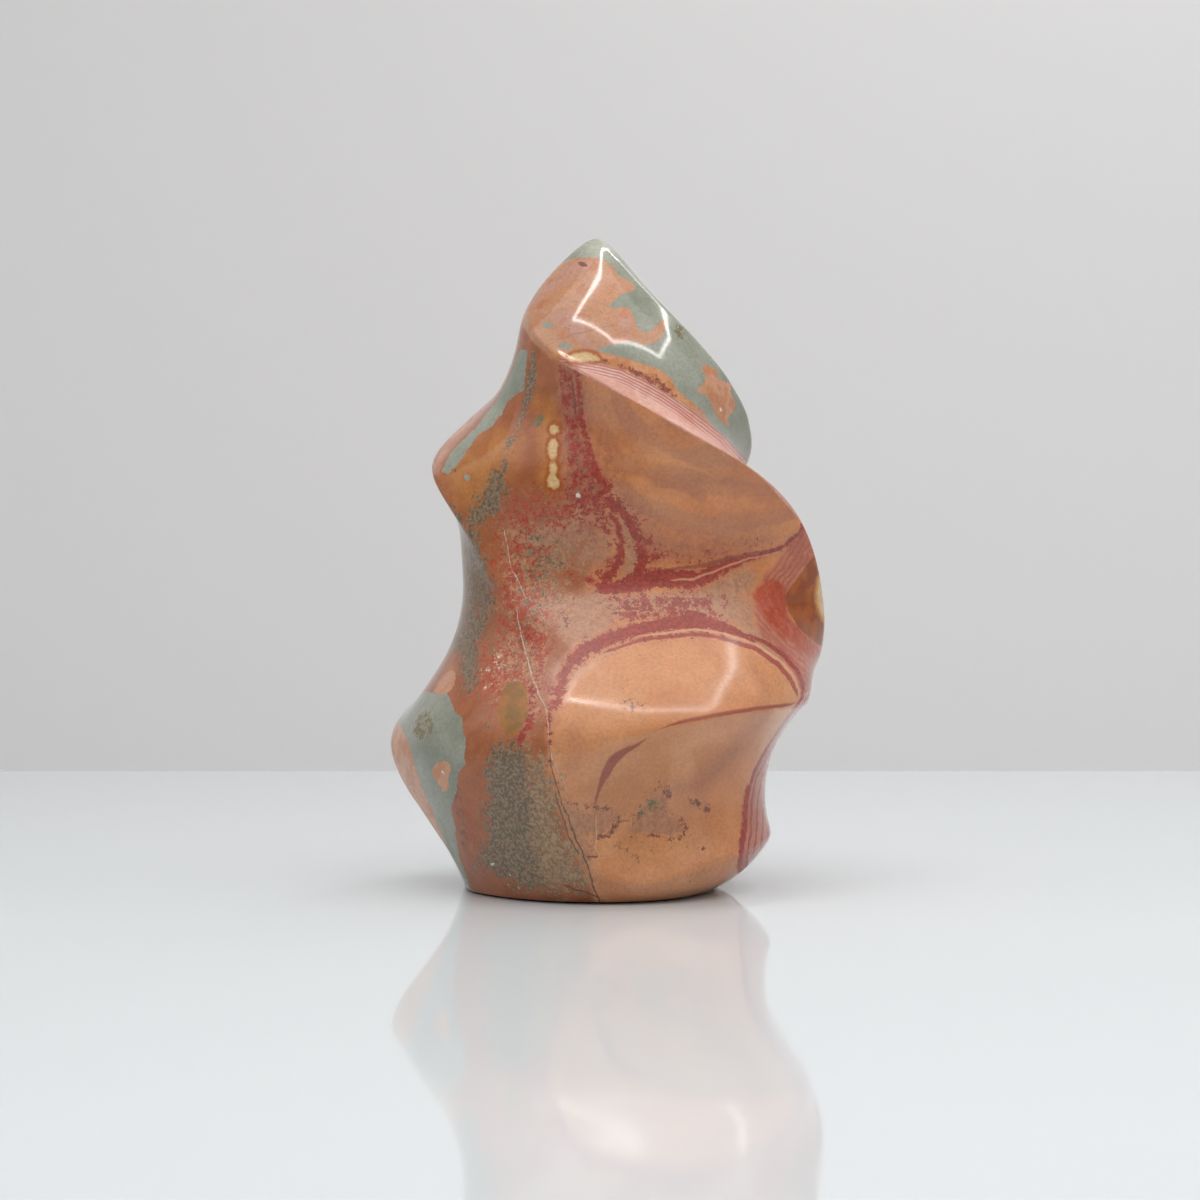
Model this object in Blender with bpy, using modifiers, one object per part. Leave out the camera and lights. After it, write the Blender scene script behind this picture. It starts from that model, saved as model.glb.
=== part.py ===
"""Polished jasper carved as a twisting flame: one stone that stands on a flat ground base.

Metres, +Z up. The origin is at the middle of the base and the front faces -Y.
The carving has three ridges that wind down from the tip, with hollow flutes between them, and one
more hollow ground into the lower front. Cage points are in millimetres and scaled once, by MM.
"""
import math

import bpy
import bmesh
import numpy as np
from mathutils import Vector

MM = 0.001

# Middle of the outline seen from above, in the ridges' own coordinates. It is moved to the origin.
PLAN_MIDDLE = (-0.3, -1.2)

# The tip, and the heights of the cage's rings below it.
TIP = (-2.6, 0.0, 120.6)
RING_HEIGHTS = (0, 2.5, 8, 16, 25, 32, 39, 47, 55, 63, 71, 78, 85, 92, 99, 105, 111, 116)

# Where each ridge passes: (height, x, y).
# The long ridge starts left of the tip, crosses the front to the right side and ends low at the back.
LONG_RIDGE = (
    (116, -7.9, -1), (111, -12.5, -3), (105, -15.9, -6.5), (100, -14, -12.5), (96, -9.5, -18.3),
    (91.6, -1.8, -22), (86.5, 7, -22.5), (81.5, 17, -21.5), (76.5, 26.5, -17.5), (71, 33.2, -10),
    (65, 37.4, -3), (56, 39.8, 2), (47, 41, 6), (38, 39, 12.2), (30, 30, 18.7), (18, 22, 28), (8, 15, 28),
    (0, 12, 22.5),
)
# The back ridge starts right of the tip, winds round the back and comes out low on the left side.
BACK_RIDGE = (
    (116, 0.9, -3.5), (111, 4.9, -6.5), (105, 10.9, -8.5), (99, 17, -8), (92, 23, -4.5), (85, 27, 2.5), (78, 27.5, 10),
    (71, 20, 23), (63, 11, 29.5), (55, 0, 32.5), (47, -13, 32), (39, -28, 25), (32, -40, 12), (26, -42.8, 0),
    (16, -36.3, -5), (8, -30, -9), (0, -25.2, -11),
)
# The side ridge starts behind the tip, comes out on the left side and fades into the lower front.
SIDE_RIDGE = (
    (116, -2.5, 4.5), (111, -4.5, 8), (105, -8.5, 10.5), (99, -14.5, 11), (92, -20, 9), (85, -28.2, 5),
    (78, -35, -1), (71, -30.5, -9), (63, -24, -14), (55, -20.8, -16), (47, -13.9, -22.5), (40, -0.2, -29.9),
    (34, 14.9, -36.7), (28, 21.1, -33.9), (20, 20, -29.5), (8, 16, -28.5), (2.5, 13, -26.5), (0, 11, -22.5),
)

# How far each flute dips below the straight line between its two ridges: (height, depth).
LONG_TO_BACK_FLUTE = (
    (0, -3), (14, 2), (32, 8), (47, 9), (63, 8), (78, 5.3), (92, 1.3), (99, 0.8), (105, 0.6), (111, 0), (116, -0.5),
)
BACK_TO_SIDE_FLUTE = (
    (0, -1), (8, 0), (20, 2), (32, 3.5), (39, 0.6), (47, -0.5), (55, -0.6), (63, -1.4), (71, 1), (78, 5.5), (92, 1.5),
    (99, 2), (105, 3), (111, 4), (116, 3),
)
SIDE_TO_LONG_FLUTE = (
    (0, 5.5), (2.5, 3.5), (8, 1.5), (16, 0.5), (25, 2), (32, -0.3), (39, -1.4), (47, 6.4), (55, 15.2),
    (63, 15.7), (71, 13.5), (78, 12.5), (85, 8), (92, 2), (105, -1), (116, -1),
)

# Where across each flute its deepest line lies, as a share of the way to the next ridge.
LONG_TO_BACK_LEAN = ((60, 0.5), (90, 0.6))
BACK_TO_SIDE_LEAN = ((32, 0.62), (47, 0.7), (63, 0.7), (78, 0.62))
SIDE_TO_LONG_LEAN = ((39, 0.54), (47, 0.37), (55, 0.46), (63, 0.54), (78, 0.6))

# Cage columns in each flute, from one ridge to just short of the next.
COLUMNS_PER_FLUTE = 4

# How crisp each ridge stays under subdivision, from 0 for soft to 1 for sharp: (height, crease).
LONG_RIDGE_CREASE = ((0, 0.2), (30, 0.5), (45, 0.8), (98, 0.85), (104, 0.4), (112, 0.3))
BACK_RIDGE_CREASE = ((0, 0.4), (30, 0.6), (70, 0.7), (82, 0.4), (100, 0.65), (112, 0.5))
SIDE_RIDGE_CREASE = ((45, 0.1), (54, 0.45), (66, 0.65), (78, 0.7), (95, 0.6), (112, 0.3))
BASE_CREASE = 0.85
SUBDIVISION_LEVELS = 2

# The hollow low on the front: a ball of this radius is swept from the front round the right side, where
# it draws back so that the hollow runs out. Its path: (angle in degrees, distance from its axis, height).
BALL_RADIUS = 22.0
SWEEP_AXIS = (1.2, 0.5)
SWEEP_PATH = ((279, 49.5, 12.5), (290, 49.5, 14.5), (308, 49.5, 16.5), (335, 49.5, 17), (365, 49.5, 17), (405, 56, 13))
SWEEP_STEPS = 18
CAP_STEPS = 8


def ridge_track(points, start_deg):
    """A ridge as rising heights, angles unwrapped from near start_deg, and radii."""
    heights, angles, radii = [], [], []
    last = start_deg
    for height, x, y in points:
        angle = math.degrees(math.atan2(y, x))
        angle += 360.0 * round((last - angle) / 360.0)
        last = angle
        heights.append(height)
        angles.append(angle)
        radii.append(math.hypot(x, y))
    return heights[::-1], angles[::-1], radii[::-1]


def along(rows, at, column=1):
    """Value at a height or angle, read from rows that start with it."""
    return float(np.interp(at, [row[0] for row in rows], [row[column] for row in rows]))


def placed(x, y, height):
    """A point of the ridges' own coordinates as a point of the part, in metres."""
    return Vector((x - PLAN_MIDDLE[0], y - PLAN_MIDDLE[1], height)) * MM


def cage_ring(height, flutes):
    """Points of one level ring, flute by flute, running anticlockwise."""
    points = []
    for (heights, angles, radii), (next_heights, next_angles, next_radii), turn, flute, lean in flutes:
        start = np.interp(height, heights, angles)
        end = np.interp(height, next_heights, next_angles) + turn
        start_radius = np.interp(height, heights, radii)
        end_radius = np.interp(height, next_heights, next_radii)
        for column in range(COLUMNS_PER_FLUTE):
            t = column / COLUMNS_PER_FLUTE
            u = t ** (math.log(0.5) / math.log(along(lean, height)))
            dip = along(flute, height) * 4 * u * (1 - u)
            angle = math.radians(start + (end - start) * t)
            radius = start_radius + (end_radius - start_radius) * t - dip
            points.append(placed(radius * math.cos(angle), radius * math.sin(angle), height))
    return points


def flame_cage():
    """The coarse cage as a bmesh, with crease weights on the ridges and the base's rim."""
    long_ridge = ridge_track(LONG_RIDGE, 187)
    back_ridge = ridge_track(BACK_RIDGE, 383)
    side_ridge = ridge_track(SIDE_RIDGE, 479)
    flutes = (
        (long_ridge, back_ridge, 0, LONG_TO_BACK_FLUTE, LONG_TO_BACK_LEAN),
        (back_ridge, side_ridge, 0, BACK_TO_SIDE_FLUTE, BACK_TO_SIDE_LEAN),
        (side_ridge, long_ridge, 360, SIDE_TO_LONG_FLUTE, SIDE_TO_LONG_LEAN),
    )
    cage = bmesh.new()
    crease = cage.edges.layers.float.new("crease_edge")
    rings = [[cage.verts.new(p) for p in cage_ring(h, flutes)] for h in RING_HEIGHTS]
    around = len(rings[0])
    for low, high in zip(rings, rings[1:]):
        for j in range(around):
            k = (j + 1) % around
            cage.faces.new((low[j], low[k], high[k], high[j]))
    tip = cage.verts.new(placed(*TIP))
    for j in range(around):
        cage.faces.new((rings[-1][j], rings[-1][(j + 1) % around], tip))
    middle = cage.verts.new(placed(0, 0, 0))
    for j in range(around):
        cage.faces.new((rings[0][(j + 1) % around], rings[0][j], middle))
        cage.edges.get((rings[0][j], rings[0][(j + 1) % around]))[crease] = BASE_CREASE
    ridge_creases = (LONG_RIDGE_CREASE, BACK_RIDGE_CREASE, SIDE_RIDGE_CREASE)
    for i, (low, high) in enumerate(zip(rings, rings[1:])):
        height = (RING_HEIGHTS[i] + RING_HEIGHTS[i + 1]) / 2
        for ridge, weights in enumerate(ridge_creases):
            column = ridge * COLUMNS_PER_FLUTE
            cage.edges.get((low[column], high[column]))[crease] = along(weights, height)
    return cage


def swept_ball(name, collection):
    """The cutter for the low hollow: a bent rod with round ends, made from a curve."""
    curve = bpy.data.curves.new(name, "CURVE")
    curve.dimensions = "3D"
    curve.bevel_depth = BALL_RADIUS * MM
    curve.bevel_resolution = 10
    curve.use_fill_caps = True
    cap_turn = math.degrees(BALL_RADIUS / SWEEP_PATH[0][1])
    start_deg = SWEEP_PATH[0][0]
    end_deg = SWEEP_PATH[-1][0]
    steps = []
    for step in range(1, CAP_STEPS + 1):
        slope = math.radians(90 * step / CAP_STEPS)
        steps.append((start_deg - cap_turn * math.cos(slope), math.sin(slope)))
    for step in range(1, SWEEP_STEPS):
        steps.append((start_deg + (end_deg - start_deg) * step / SWEEP_STEPS, 1.0))
    for step in range(0, CAP_STEPS):
        slope = math.radians(90 * step / CAP_STEPS)
        steps.append((end_deg + cap_turn * math.sin(slope), math.cos(slope)))
    spline = curve.splines.new("POLY")
    spline.points.add(len(steps) - 1)
    for point, (angle_deg, share) in zip(spline.points, steps):
        angle = math.radians(angle_deg)
        distance = along(SWEEP_PATH, angle_deg, 1)
        x = SWEEP_AXIS[0] + distance * math.cos(angle)
        y = SWEEP_AXIS[1] + distance * math.sin(angle)
        point.co = (*placed(x, y, along(SWEEP_PATH, angle_deg, 2)), 1)
        point.radius = share
    rod = bpy.data.objects.new(name + "_curve", curve)
    collection.objects.link(rod)
    bpy.context.view_layer.update()
    solid = bpy.data.meshes.new_from_object(rod.evaluated_get(bpy.context.evaluated_depsgraph_get()))
    bpy.data.objects.remove(rod)
    shell = bmesh.new()
    shell.from_mesh(solid)
    bmesh.ops.remove_doubles(shell, verts=shell.verts, dist=0.00001)
    bmesh.ops.recalc_face_normals(shell, faces=shell.faces)
    shell.to_mesh(solid)
    shell.free()
    cutter = bpy.data.objects.new(name, solid)
    collection.objects.link(cutter)
    cutter.hide_render = True
    cutter.display_type = "WIRE"
    return cutter


def jasper_material():
    """Polished brown-red jasper."""
    material = bpy.data.materials.new("polished_jasper")
    material.use_nodes = True
    shader = material.node_tree.nodes["Principled BSDF"]
    shader.inputs["Base Color"].default_value = (0.42, 0.19, 0.11, 1)
    shader.inputs["Roughness"].default_value = 0.12
    shader.inputs["Metallic"].default_value = 0.0
    return material


for old in list(bpy.data.objects):
    bpy.data.objects.remove(old)

flame_parts = bpy.data.collections.new("jasper_flame_carving")
cutters = bpy.data.collections.new("cutters")
for group in (flame_parts, cutters):
    bpy.context.scene.collection.children.link(group)

flame_mesh = bpy.data.meshes.new("jasper_flame")
cage_mesh = flame_cage()
cage_mesh.to_mesh(flame_mesh)
cage_mesh.free()
flame = bpy.data.objects.new("jasper_flame", flame_mesh)
flame_parts.objects.link(flame)
flame_mesh.materials.append(jasper_material())
flame_mesh.shade_smooth()

subdivision = flame.modifiers.new("soft form", "SUBSURF")
subdivision.levels = SUBDIVISION_LEVELS
subdivision.render_levels = SUBDIVISION_LEVELS

low_hollow = flame.modifiers.new("low hollow", "BOOLEAN")
low_hollow.operation = "DIFFERENCE"
low_hollow.solver = "EXACT"
low_hollow.object = swept_ball("low_hollow_cutter", cutters)
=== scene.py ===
"""The polychrome jasper flame carving as it looks: the polished stone, its pattern and a plain pale studio.

Everything is in metres in the part's own frame. Cage points are in millimetres and scaled by MM.
"""
import math

import bmesh
import bpy
import numpy as np
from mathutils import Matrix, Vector, noise
from mathutils.bvhtree import BVHTree


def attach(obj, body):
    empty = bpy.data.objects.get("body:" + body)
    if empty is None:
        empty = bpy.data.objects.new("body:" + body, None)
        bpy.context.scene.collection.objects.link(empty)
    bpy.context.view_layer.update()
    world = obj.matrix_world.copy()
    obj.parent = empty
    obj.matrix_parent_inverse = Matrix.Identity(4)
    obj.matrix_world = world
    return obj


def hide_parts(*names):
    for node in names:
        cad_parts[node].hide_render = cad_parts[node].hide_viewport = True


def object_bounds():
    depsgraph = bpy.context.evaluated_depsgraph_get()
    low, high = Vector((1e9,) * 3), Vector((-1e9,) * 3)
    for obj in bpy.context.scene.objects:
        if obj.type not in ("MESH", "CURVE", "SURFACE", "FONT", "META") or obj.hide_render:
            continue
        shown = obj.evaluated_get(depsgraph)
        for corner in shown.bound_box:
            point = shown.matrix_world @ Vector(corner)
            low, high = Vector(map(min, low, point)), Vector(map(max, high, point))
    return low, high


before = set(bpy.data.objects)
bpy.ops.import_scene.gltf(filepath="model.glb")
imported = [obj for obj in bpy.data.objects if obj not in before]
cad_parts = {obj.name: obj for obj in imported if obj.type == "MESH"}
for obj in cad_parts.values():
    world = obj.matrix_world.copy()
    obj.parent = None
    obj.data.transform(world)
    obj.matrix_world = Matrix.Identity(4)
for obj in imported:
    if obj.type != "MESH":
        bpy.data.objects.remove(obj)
cad_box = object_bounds()

# The carving's form.
# One piece of jasper, ground to a twisting flame with three ridges and hollow flutes between them, and
# polished all over. The cage has the ridges and flutes of the part's source, with finer subdivision.

MM = 0.001
PLAN_MIDDLE = (-0.3, -1.2)
TIP = (-2.6, 0.0, 120.6)
RING_HEIGHTS = (0, 2.5, 8, 16, 25, 32, 39, 47, 55, 63, 71, 78, 85, 92, 99, 105, 111, 116)

# Where each ridge passes: (height, x, y).
LONG_RIDGE = (
    (116, -7.9, -1), (111, -12.5, -3), (105, -15.9, -6.5), (100, -14, -12.5), (96, -9.5, -18.3),
    (91.6, -1.8, -22), (86.5, 7, -22.5), (81.5, 17, -21.5), (76.5, 26.5, -17.5), (71, 33.2, -10),
    (65, 37.4, -3), (56, 39.8, 2), (47, 41, 6), (38, 39, 12.2), (30, 30, 18.7), (18, 22, 28), (8, 15, 28),
    (0, 12, 22.5),
)
BACK_RIDGE = (
    (116, 0.9, -3.5), (111, 4.9, -6.5), (105, 10.9, -8.5), (99, 17, -8), (92, 23, -4.5), (85, 27, 2.5), (78, 27.5, 10),
    (71, 20, 23), (63, 11, 29.5), (55, 0, 32.5), (47, -13, 32), (39, -28, 25), (32, -40, 12), (26, -42.8, 0),
    (16, -36.3, -5), (8, -30, -9), (0, -25.2, -11),
)
SIDE_RIDGE = (
    (116, -2.5, 4.5), (111, -4.5, 8), (105, -8.5, 10.5), (99, -14.5, 11), (92, -20, 9), (85, -28.2, 5),
    (78, -35, -1), (71, -30.5, -9), (63, -24, -14), (55, -20.8, -16), (47, -13.9, -22.5), (40, -0.2, -29.9),
    (34, 14.9, -36.7), (28, 21.1, -33.9), (20, 20, -29.5), (8, 16, -28.5), (2.5, 13, -26.5), (0, 11, -22.5),
)

# How far each flute dips below the straight line between its two ridges: (height, depth).
LONG_TO_BACK_FLUTE = (
    (0, -3), (14, 2), (32, 8), (47, 9), (63, 8), (78, 5.3), (92, 1.3), (99, 0.8), (105, 0.6), (111, 0), (116, -0.5),
)
BACK_TO_SIDE_FLUTE = (
    (0, -1), (8, 0), (20, 2), (32, 3.5), (39, 0.6), (47, -0.5), (55, -0.6), (63, -1.4), (71, 1), (78, 5.5), (92, 1.5),
    (99, 2), (105, 3), (111, 4), (116, 3),
)
SIDE_TO_LONG_FLUTE = (
    (0, 5.5), (2.5, 3.5), (8, 1.5), (16, 0.5), (25, 2), (32, -0.3), (39, -1.4), (47, 6.4), (55, 15.2),
    (63, 15.7), (71, 13.5), (78, 12.5), (85, 8), (92, 2), (105, -1), (116, -1),
)

# Where across each flute its deepest line lies, as a share of the way to the next ridge.
LONG_TO_BACK_LEAN = ((60, 0.5), (90, 0.6))
BACK_TO_SIDE_LEAN = ((32, 0.62), (47, 0.7), (63, 0.7), (78, 0.62))
SIDE_TO_LONG_LEAN = ((39, 0.54), (47, 0.37), (55, 0.46), (63, 0.54), (78, 0.6))
COLUMNS_PER_FLUTE = 4

# How crisp each ridge stays under subdivision: (height, crease).
LONG_RIDGE_CREASE = ((0, 0.2), (30, 0.5), (45, 0.8), (98, 0.85), (104, 0.4), (112, 0.3))
BACK_RIDGE_CREASE = ((0, 0.4), (30, 0.6), (70, 0.7), (82, 0.4), (100, 0.65), (112, 0.5))
SIDE_RIDGE_CREASE = ((45, 0.1), (54, 0.45), (66, 0.65), (78, 0.7), (95, 0.6), (112, 0.3))
BASE_CREASE = 0.85
FINE_LEVELS = 4


def ridge_track(points, start_deg):
    """A ridge as rising heights, angles unwrapped from near start_deg, and radii."""
    heights, angles, radii = [], [], []
    last = start_deg
    for height, x, y in points:
        angle = math.degrees(math.atan2(y, x))
        angle += 360.0 * round((last - angle) / 360.0)
        last = angle
        heights.append(height)
        angles.append(angle)
        radii.append(math.hypot(x, y))
    return heights[::-1], angles[::-1], radii[::-1]


def along(rows, at, column=1):
    """Value at a height or angle, read from rows that start with it."""
    return float(np.interp(at, [row[0] for row in rows], [row[column] for row in rows]))


def placed(x, y, height):
    """A point of the ridges' own coordinates as a point of the part, in metres."""
    return Vector((x - PLAN_MIDDLE[0], y - PLAN_MIDDLE[1], height)) * MM


def cage_ring(height, flutes):
    """Points of one level ring, flute by flute, running anticlockwise."""
    points = []
    for (heights, angles, radii), (next_heights, next_angles, next_radii), turn, flute, lean in flutes:
        start = np.interp(height, heights, angles)
        end = np.interp(height, next_heights, next_angles) + turn
        start_radius = np.interp(height, heights, radii)
        end_radius = np.interp(height, next_heights, next_radii)
        for column in range(COLUMNS_PER_FLUTE):
            t = column / COLUMNS_PER_FLUTE
            u = t ** (math.log(0.5) / math.log(along(lean, height)))
            dip = along(flute, height) * 4 * u * (1 - u)
            angle = math.radians(start + (end - start) * t)
            radius = start_radius + (end_radius - start_radius) * t - dip
            points.append(placed(radius * math.cos(angle), radius * math.sin(angle), height))
    return points


def flame_cage():
    """The coarse cage, with crease weights on the ridges and the base's rim."""
    long_ridge = ridge_track(LONG_RIDGE, 187)
    back_ridge = ridge_track(BACK_RIDGE, 383)
    side_ridge = ridge_track(SIDE_RIDGE, 479)
    flutes = (
        (long_ridge, back_ridge, 0, LONG_TO_BACK_FLUTE, LONG_TO_BACK_LEAN),
        (back_ridge, side_ridge, 0, BACK_TO_SIDE_FLUTE, BACK_TO_SIDE_LEAN),
        (side_ridge, long_ridge, 360, SIDE_TO_LONG_FLUTE, SIDE_TO_LONG_LEAN),
    )
    cage = bmesh.new()
    crease = cage.edges.layers.float.new("crease_edge")
    rings = [[cage.verts.new(p) for p in cage_ring(h, flutes)] for h in RING_HEIGHTS]
    around = len(rings[0])
    for low, high in zip(rings, rings[1:]):
        for j in range(around):
            k = (j + 1) % around
            cage.faces.new((low[j], low[k], high[k], high[j]))
    tip = cage.verts.new(placed(*TIP))
    middle = cage.verts.new(placed(0, 0, 0))
    for j in range(around):
        k = (j + 1) % around
        cage.faces.new((rings[-1][j], rings[-1][k], tip))
        cage.faces.new((rings[0][k], rings[0][j], middle))
        cage.edges.get((rings[0][j], rings[0][k]))[crease] = BASE_CREASE
    ridge_creases = (LONG_RIDGE_CREASE, BACK_RIDGE_CREASE, SIDE_RIDGE_CREASE)
    for i, (low, high) in enumerate(zip(rings, rings[1:])):
        height = (RING_HEIGHTS[i] + RING_HEIGHTS[i + 1]) / 2
        for ridge, weights in enumerate(ridge_creases):
            column = ridge * COLUMNS_PER_FLUTE
            cage.edges.get((low[column], high[column]))[crease] = along(weights, height)
    return cage


rough_mesh = bpy.data.meshes.new("rough_flame")
rough_cage = flame_cage()
rough_cage.to_mesh(rough_mesh)
rough_cage.free()
rough = bpy.data.objects.new("rough_flame", rough_mesh)
bpy.context.scene.collection.objects.link(rough)
soft_form = rough.modifiers.new("soft form", "SUBSURF")
soft_form.levels = FINE_LEVELS
soft_form.render_levels = FINE_LEVELS
bpy.context.view_layer.update()
stone_mesh = bpy.data.meshes.new_from_object(rough.evaluated_get(bpy.context.evaluated_depsgraph_get()))
stone_mesh.name = "jasper_stone"
bpy.data.objects.remove(rough)

# The hollow low on the front.
# It was ground with a round wheel that swept from the front round the right side, and drew back there.
# Each point of the stone that lies inside the wheel's path is pressed onto it, with a slightly worn rim.

WHEEL_RADIUS = 22.0
WHEEL_AXIS = (1.2, 0.5)
WHEEL_PATH = ((279, 49.5, 12.5), (290, 49.5, 14.5), (308, 49.5, 16.5), (335, 49.5, 17), (365, 49.5, 17), (405, 56, 13))
WHEEL_STEPS = 90
RIM_WEAR = 0.35


def wheel_stations():
    """Middles of the wheel along its path, in metres."""
    stations = []
    for angle_deg in np.linspace(WHEEL_PATH[0][0], WHEEL_PATH[-1][0], WHEEL_STEPS):
        distance = along(WHEEL_PATH, angle_deg, 1)
        x = WHEEL_AXIS[0] + distance * math.cos(math.radians(angle_deg))
        y = WHEEL_AXIS[1] + distance * math.sin(math.radians(angle_deg))
        stations.append(placed(x, y, along(WHEEL_PATH, angle_deg, 2)))
    return np.array(stations)


def nearest_on_path(points, path):
    """For each point the nearest point of a path of straight pieces."""
    best = np.full(len(points), np.inf)
    nearest = np.zeros_like(points)
    for start, end in zip(path, path[1:]):
        run = end - start
        share = np.clip((points - start) @ run / (run @ run), 0, 1)
        foot = start + share[:, None] * run
        gap = np.linalg.norm(points - foot, axis=1)
        nearer = gap < best
        best[nearer] = gap[nearer]
        nearest[nearer] = foot[nearer]
    return nearest, best


stone_points = np.empty((len(stone_mesh.vertices), 3), np.float64)
flat = np.empty(len(stone_mesh.vertices) * 3, np.float32)
stone_mesh.vertices.foreach_get("co", flat)
stone_points[:] = flat.reshape(-1, 3)
middle_of_wheel, from_wheel = nearest_on_path(stone_points, wheel_stations())
depth_in_wheel = (WHEEL_RADIUS * MM - from_wheel) / (RIM_WEAR * MM)
press = RIM_WEAR * MM * np.logaddexp(0, np.clip(depth_in_wheel, -40, 400))
outward = (stone_points - middle_of_wheel) / from_wheel[:, None]
near_wheel = depth_in_wheel > -12
on_base = stone_points[:, 2] < 0.00002
stone_points[near_wheel] += (outward * press[:, None])[near_wheel]
stone_points[on_base, 2] = 0.0
stone_points = np.clip(stone_points, np.array(cad_box[0]), np.array(cad_box[1]))
stone_mesh.vertices.foreach_set("co", stone_points.astype(np.float32).ravel())
stone_mesh.update()
stone_mesh.shade_smooth()

jasper_stone = bpy.data.objects.new("jasper_stone", stone_mesh)
bpy.context.scene.collection.objects.link(jasper_stone)

# Where the stone's pattern lies.
# Polychrome jasper is banded and speckled right through. Its zones are drawn as seen from the camera, in
# points of a 1200-point picture, and carry on into the stone behind, drifting and wandering with depth.

PICTURE = 1200
EYE = Vector((-0.00155, -0.5218, 0.064))
EYE_TILT = math.radians(1.234)
LENS = 85.0
SENSOR = 36.0
POINTS_PER_UNIT = LENS / SENSOR * PICTURE
MM_PER_POINT = 0.184
DRIFT = (0.9, -0.5)
WANDER = 34.0
WANDER_SIZE = 0.022
FULL_WANDER_DEPTH = 0.035


def seen_from_camera(points):
    """Picture coordinates of points, in picture points, right and down."""
    reach = points - np.array(EYE)
    ahead = reach @ np.array((0.0, math.cos(EYE_TILT), -math.sin(EYE_TILT)))
    up = reach @ np.array((0.0, math.sin(EYE_TILT), math.cos(EYE_TILT)))
    across = PICTURE / 2 + POINTS_PER_UNIT * reach[:, 0] / ahead
    down = PICTURE / 2 - POINTS_PER_UNIT * up / ahead
    return np.stack((across, down), axis=1)


def depth_behind_front(points, mesh):
    """How far each point lies behind the front face that the camera sees, in metres."""
    mesh.calc_loop_triangles()
    corners = [tuple(t.vertices) for t in mesh.loop_triangles]
    tree = BVHTree.FromPolygons([tuple(p) for p in points], corners, epsilon=0.0)
    depth = np.zeros(len(points))
    for i, point in enumerate(points):
        towards = Vector(point) - EYE
        hit = tree.ray_cast(EYE, towards.normalized())
        if hit[0] is not None:
            depth[i] = max(0.0, towards.length - hit[3] - 0.0003)
    return depth


def wandered(points, seen, depth):
    """Picture coordinates with the drift and wander of the layers added behind the front face."""
    moved = seen.copy()
    for i in np.nonzero(depth > 0)[0]:
        share = min(depth[i] / FULL_WANDER_DEPTH, 1.0)
        wave = noise.noise_vector(Vector(points[i]) / WANDER_SIZE)
        fine_wave = noise.noise_vector(Vector(points[i]) / (WANDER_SIZE * 0.35))
        moved[i, 0] += depth[i] / MM * DRIFT[0] + share * (WANDER * wave.x + WANDER * 0.3 * fine_wave.x)
        moved[i, 1] += depth[i] / MM * DRIFT[1] + share * (WANDER * wave.z + WANDER * 0.3 * fine_wave.z)
    return moved


def along_chain(seen, chain):
    """For each point its distance to a chain, the side it lies on, and the chain's further values there."""
    chain = np.array(chain, dtype=float)
    best = np.full(len(seen), np.inf)
    side = np.ones(len(seen))
    values = np.zeros((len(seen), chain.shape[1] - 2))
    for start, end in zip(chain, chain[1:]):
        run = end[:2] - start[:2]
        offset = seen - start[:2]
        share = np.clip(offset @ run / (run @ run), 0, 1)
        gap = offset - share[:, None] * run
        distance = np.hypot(gap[:, 0], gap[:, 1])
        nearer = distance < best - 1e-9
        best[nearer] = distance[nearer]
        cross = run[0] * offset[:, 1] - run[1] * offset[:, 0]
        side[nearer] = np.where(cross[nearer] < 0, -1.0, 1.0)
        mixed = start[2:] + share[:, None] * (end[2:] - start[2:])
        values[nearer] = mixed[nearer]
    return best, side, values


def inside(seen, outline):
    """Signed distance to a closed outline in millimetres, positive inside."""
    closed = list(outline) + [outline[0]]
    distance, _, _ = along_chain(seen, [point[:2] for point in closed])
    within = np.zeros(len(seen), dtype=bool)
    for (x0, y0), (x1, y1) in zip(closed, closed[1:]):
        if y0 != y1:
            crosses = (y0 > seen[:, 1]) != (y1 > seen[:, 1])
            within ^= crosses & (seen[:, 0] < (x1 - x0) * (seen[:, 1] - y0) / (y1 - y0) + x0)
    return np.where(within, distance, -distance) * MM_PER_POINT


def within_trail(seen, trail):
    """Signed distance to a trail of (across, down, radius) in millimetres, positive inside."""
    distance, _, values = along_chain(seen, trail)
    return (values[:, 0] - distance) * MM_PER_POINT


def oval(across, down, wide, tall, turn_deg=0, corners=12):
    """Outline of an oval spot."""
    turn = math.radians(turn_deg)
    ring = []
    for step in range(corners):
        angle = 2 * math.pi * step / corners
        x, y = wide * math.cos(angle), tall * math.sin(angle)
        ring.append((across + x * math.cos(turn) - y * math.sin(turn), down + x * math.sin(turn) + y * math.cos(turn)))
    return ring


def keep(name, values):
    """Writes one number per point on the stone's mesh, for its material to read."""
    layer = stone_mesh.attributes.new(name, "FLOAT", "POINT")
    layer.data.foreach_set("value", values.astype(np.float32))


def keep_zone(name, *outlines):
    """A zone with a crisp edge: the distance inside the nearest of its outlines."""
    keep(name, np.max([inside(layers, outline) for outline in outlines], axis=0))


def keep_cover(name, *parts):
    """How thickly a speckle covers the stone, from 0 to 1. Each part is (share, soft edge in mm, shape)."""
    cover = np.zeros(len(layers))
    for share, soft, shape in parts:
        trail = len(shape[0]) == 3
        distance = within_trail(layers, shape) if trail else inside(layers, shape)
        cover = np.maximum(cover, share * np.clip(0.5 + distance / soft, 0, 1))
    keep(name, cover)


def keep_line(name, line):
    """A thin line of (across, down, half width in mm): the distance to it, with its side, and its half width."""
    distance, side, widths = along_chain(layers, line)
    keep(name + "_off", distance * side * MM_PER_POINT)
    keep(name + "_width", widths[:, 0])


front_view = seen_from_camera(stone_points)
layers = wandered(stone_points, front_view, depth_behind_front(stone_points, stone_mesh))

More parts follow.
